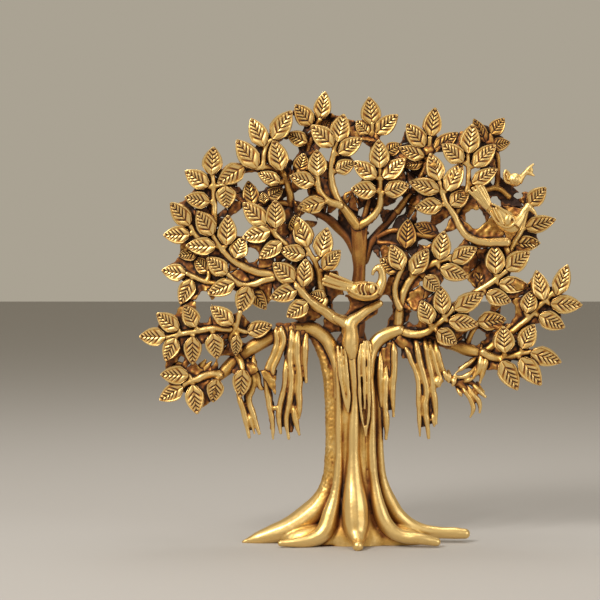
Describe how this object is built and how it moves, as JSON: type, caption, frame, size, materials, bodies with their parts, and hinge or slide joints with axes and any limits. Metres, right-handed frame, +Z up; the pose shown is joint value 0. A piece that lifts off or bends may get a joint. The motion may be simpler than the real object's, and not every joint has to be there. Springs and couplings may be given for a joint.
{
  "type": "tree of life table sculpture",
  "caption": "Free-standing cast brass tree of life: fluted trunk on flared roots, curved limbs, veined leaf sprays, hanging aerial roots and perched birds, worked as a shallow relief.",
  "frame": {"origin": "on the table plane, under the middle of the trunk, on its flat underside", "axes": "+Z up, +X to the right as seen from the front, the front of the relief faces -Y"},
  "size_m": [0.3085, 0.071, 0.3175],
  "materials": {
    "antique_brass": "polished antique brass, dark patina left in the grooves",
    "aged_brass": "darker reddish brown brass of the rear limbs, little rubbed"
  },
  "bodies": {
    "root": {"aerial_roots_beside_trunk": "antique_brass", "aerial_roots_far_left": "antique_brass", "aerial_roots_left": "antique_brass", "aerial_roots_right": "antique_brass", "aerial_roots_wrap_left": "antique_brass", "aerial_roots_wrap_right": "antique_brass", "bird_centre": "antique_brass", "bird_far_right": "antique_brass", "bird_right": "antique_brass", "fork_front_right": "antique_brass", "front_flap_left": "antique_brass", "front_flap_right": "antique_brass", "limb_left": "antique_brass", "limb_rear_left": "aged_brass", "limb_rear_right": "aged_brass", "limb_right": "antique_brass", "limb_right_rear": "antique_brass", "root_back_left": "antique_brass", "root_back_right": "antique_brass", "root_front": "antique_brass", "root_front_left": "antique_brass", "root_front_right": "antique_brass", "root_left": "antique_brass", "root_right": "antique_brass", "spray_above_limb_right": "antique_brass", "spray_below_limb_left": "antique_brass", "spray_bottom_left": "antique_brass", "spray_centre_left": "antique_brass", "spray_centre_right": "antique_brass", "spray_centre_right_small": "antique_brass", "spray_crown_left": "antique_brass", "spray_crown_left_low": "antique_brass", "spray_crown_right": "antique_brass", "spray_far_left": "antique_brass", "spray_far_right": "antique_brass", "spray_far_top_right": "aged_brass", "spray_fork_left": "antique_brass", "spray_left_arm": "antique_brass", "spray_left_arm_low": "antique_brass", "spray_left_outer": "antique_brass", "spray_low_left": "antique_brass", "spray_low_right": "antique_brass", "spray_low_right_front": "antique_brass", "spray_mid_left": "antique_brass", "spray_outer_upper_left": "antique_brass", "spray_rear_right": "aged_brass", "spray_right_crown": "antique_brass", "spray_right_front": "antique_brass", "spray_right_mid": "antique_brass", "spray_right_outer": "antique_brass", "spray_top_centre": "antique_brass", "spray_top_left": "antique_brass", "spray_top_right": "antique_brass", "spray_upper_left": "antique_brass", "spray_upper_left_low": "antique_brass", "trunk": "antique_brass", "upper_trunk": "aged_brass"}
  },
  "joints": []
}
